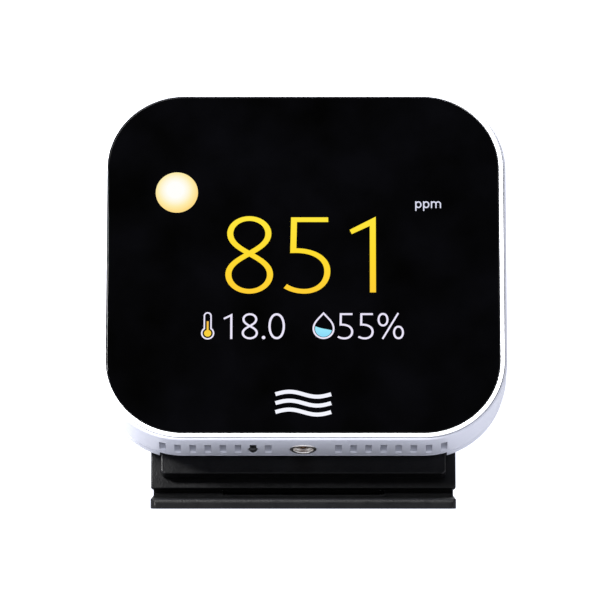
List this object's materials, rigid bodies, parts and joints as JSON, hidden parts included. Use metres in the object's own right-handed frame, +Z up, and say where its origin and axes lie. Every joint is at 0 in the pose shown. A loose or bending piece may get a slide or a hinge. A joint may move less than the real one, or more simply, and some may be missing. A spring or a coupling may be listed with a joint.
{
  "type": "air quality monitor",
  "caption": "Desktop air quality monitor: rounded-square white case with black glass display, bottom air slots and power jack, on a black tilting plate stand.",
  "frame": {"origin": "centre of the foot's underside, on the surface it stands on", "axes": "+Z up, the screen faces -Y and leans back, +X to the viewer's right"},
  "size_m": [0.0954, 0.06, 0.0979],
  "materials": {
    "shell_white": "satin silver-white moulded plastic",
    "bezel_white": "bright white, softly polished",
    "cover_white": "fine matt white moulding",
    "front_glass": "black-backed front glass with lit display marks",
    "stand_black": "fine-textured black moulding",
    "button_black": "polished black dome",
    "jack_black": "black moulding",
    "jack_nickel": "bright nickel plate",
    "jack_brass": "gilded contact pin",
    "screw_steel": "zinc-plated steel",
    "pad_rubber": "matt black rubber",
    "tape_black": "black foam tape",
    "lcd_dark": "display cell, off-black",
    "diffuser_white": "milky light guide",
    "inner_plastic": "natural inner moulding",
    "ribbon_amber": "polyimide flat cable",
    "board_green": "solder-masked circuit board",
    "shield_tin": "tinned shield can",
    "chip_black": "epoxy package"
  },
  "bodies": {
    "foot": {"foot_plate": "stand_black", "hinge_pin": "screw_steel", "friction_washer_left": "stand_black", "friction_washer_right": "stand_black", "foot_pad_1": "pad_rubber", "foot_pad_2": "pad_rubber", "foot_pad_3": "pad_rubber", "foot_pad_4": "pad_rubber"},
    "head": {"cover_glass": "front_glass", "front_bezel": "bezel_white", "glass_adhesive": "tape_black", "lcd_panel": "lcd_dark", "lcd_backlight": "diffuser_white", "lcd_bracket": "inner_plastic", "lcd_ribbon": "ribbon_amber", "ribbon_connector": "inner_plastic", "front_shell": "shell_white", "back_cover": "cover_white", "case_screw_1": "screw_steel", "case_screw_2": "screw_steel", "case_screw_3": "screw_steel", "case_screw_4": "screw_steel", "main_board": "board_green", "wifi_module": "shield_tin", "processor": "chip_black", "buzzer": "chip_black", "sensor_board": "board_green", "co2_sensor": "shield_tin", "climate_sensor": "chip_black", "sensor_header": "chip_black", "power_jack_ring": "jack_nickel", "power_jack_pin": "jack_brass", "power_jack_body": "jack_black", "reset_switch": "chip_black", "mount_plate": "stand_black", "stand_upright": "stand_black", "plate_screw_1": "screw_steel", "plate_screw_2": "screw_steel", "plate_screw_3": "screw_steel", "plate_screw_4": "screw_steel"},
    "button": {"reset_button": "button_black"}
  },
  "joints": [
    {"name": "stand_tilt", "type": "hinge", "parent": "foot", "child": "head", "pos_m": [0, -0.0126, 0.0048], "axis": [1, 0, 0], "range_deg": [-70.5, 19.5]},
    {"name": "reset_press", "type": "slide", "parent": "head", "child": "button", "axis": [0, 0.3338, 0.9426], "range_m": [0, 0.0005], "stiffness_N_per_m": 1200, "springref_m": -0.0003}
  ]
}
